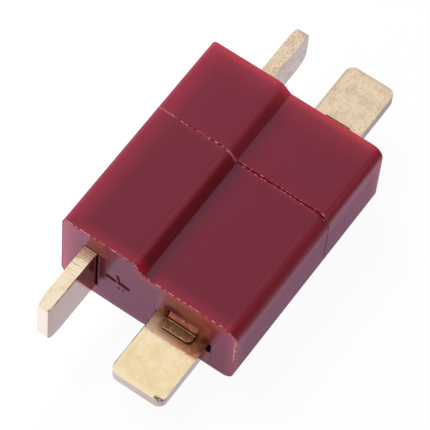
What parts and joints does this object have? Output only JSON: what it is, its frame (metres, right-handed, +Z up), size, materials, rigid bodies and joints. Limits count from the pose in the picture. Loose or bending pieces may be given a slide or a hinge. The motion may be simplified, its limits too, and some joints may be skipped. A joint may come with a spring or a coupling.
{
  "type": "t plug battery connector",
  "caption": "Mated plug and socket for battery leads: dark red stepped housings, T-placed flat gold contacts with leaf springs and solder tabs at both ends.",
  "frame": {"origin": "centre of the overall box in X and Y, on the surface that the mated pair stands on", "axes": "+X from the socket half to the plug half along the mating direction, +Y to the tall side of the housings, +Z up"},
  "size_m": [0.032, 0.016, 0.0083],
  "materials": {
    "socket_nylon": "moulded dark red nylon, satin gloss",
    "plug_nylon": "moulded dark red nylon, satin gloss",
    "bright_gold": "gold plated, smooth and bright with fine tool marks",
    "matte_gold": "gold plated, matte with brown speckles",
    "spring_gold": "gold plated spring strip, scratched"
  },
  "bodies": {
    "socket": {"socket_housing": "socket_nylon", "socket_flat_terminal": "bright_gold", "socket_upright_terminal": "bright_gold", "flat_leaf_spring": "spring_gold", "upright_leaf_spring": "spring_gold"},
    "plug": {"plug_housing": "plug_nylon", "plug_flat_blade": "matte_gold", "plug_upright_blade": "matte_gold"}
  },
  "joints": [
    {"name": "plug_slide", "type": "slide", "parent": "socket", "child": "plug", "axis": [1, 0, 0], "range_m": [0, 0.0105]}
  ]
}
